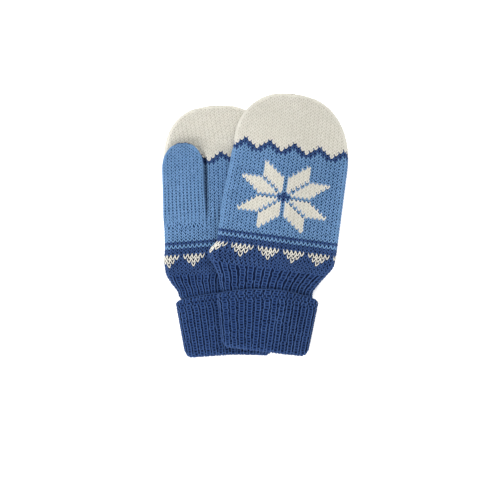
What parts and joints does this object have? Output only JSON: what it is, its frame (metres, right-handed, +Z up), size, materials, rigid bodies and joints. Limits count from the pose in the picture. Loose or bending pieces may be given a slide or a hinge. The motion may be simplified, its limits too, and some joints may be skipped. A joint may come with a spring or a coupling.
{
  "type": "knitted mittens",
  "caption": "Child's knitted mittens laid one across the other, with turned-up ribbed cuffs, a zigzag, stripes and a row of triangles, and thumbs folded on the palms.",
  "frame": {"origin": "on the table, on the flat underside of the left mitten's palm half, near its right edge", "axes": "+X to the right, +Y towards the fingertips, +Z up from the table"},
  "size_m": [0.1211, 0.1723, 0.0301],
  "materials": {
    "cream": "matt knitted wool",
    "light_blue": "matt knitted wool",
    "dark_blue": "matt knitted wool"
  },
  "bodies": {
    "left_mitten": {"left_fingertip": "cream", "left_zigzag": "dark_blue", "left_hand": "light_blue", "left_upper_stripe": "dark_blue", "left_line_stripe": "light_blue", "left_lower_stripe": "dark_blue", "left_triangles": "cream", "left_wrist": "dark_blue", "left_ribbing": "dark_blue", "left_thumb_seam": "light_blue"},
    "left_turned_cuff": {"left_cuff_turnup": "dark_blue", "left_cuff_fold": "dark_blue", "left_cuff_edge": "dark_blue"},
    "left_folded_thumb": {"left_thumb": "light_blue"},
    "right_mitten": {"right_fingertip": "cream", "right_zigzag": "dark_blue", "right_hand": "light_blue", "right_upper_stripe": "dark_blue", "right_line_stripe": "light_blue", "right_lower_stripe": "dark_blue", "right_triangles": "cream", "right_wrist": "dark_blue", "right_ribbing": "dark_blue", "right_thumb_seam": "light_blue"},
    "right_turned_cuff": {"right_cuff_turnup": "dark_blue", "right_cuff_fold": "dark_blue", "right_cuff_edge": "dark_blue"},
    "right_folded_thumb": {"right_thumb": "light_blue"}
  },
  "joints": [
    {"name": "right_mitten_lift", "type": "slide", "parent": "left_mitten", "child": "right_mitten", "axis": [0, 0, 1], "range_m": [0, 0.12]},
    {"name": "left_thumb_fold", "type": "hinge", "parent": "left_mitten", "child": "left_folded_thumb", "pos_m": [-0.04577, -0.0003, 0.0113], "axis": [0.9973, 0.0732, 0], "range_deg": [0, 90]},
    {"name": "right_thumb_fold", "type": "hinge", "parent": "right_mitten", "child": "right_folded_thumb", "pos_m": [-0.00853, 0.0071, 0.0185], "axis": [-0.9919, 0.1271, 0], "range_deg": [0, 60]},
    {"name": "left_cuff_slide", "type": "slide", "parent": "left_mitten", "child": "left_turned_cuff", "axis": [0.0732, -0.9973, 0], "range_m": [0, 0.036]},
    {"name": "right_cuff_slide", "type": "slide", "parent": "right_mitten", "child": "right_turned_cuff", "axis": [-0.1271, -0.9919, 0], "range_m": [0, 0.036]}
  ],
  "couplings": [
    {"joint": "right_thumb_fold", "follows": "right_mitten_lift", "rad_per_m": 8.7266}
  ]
}
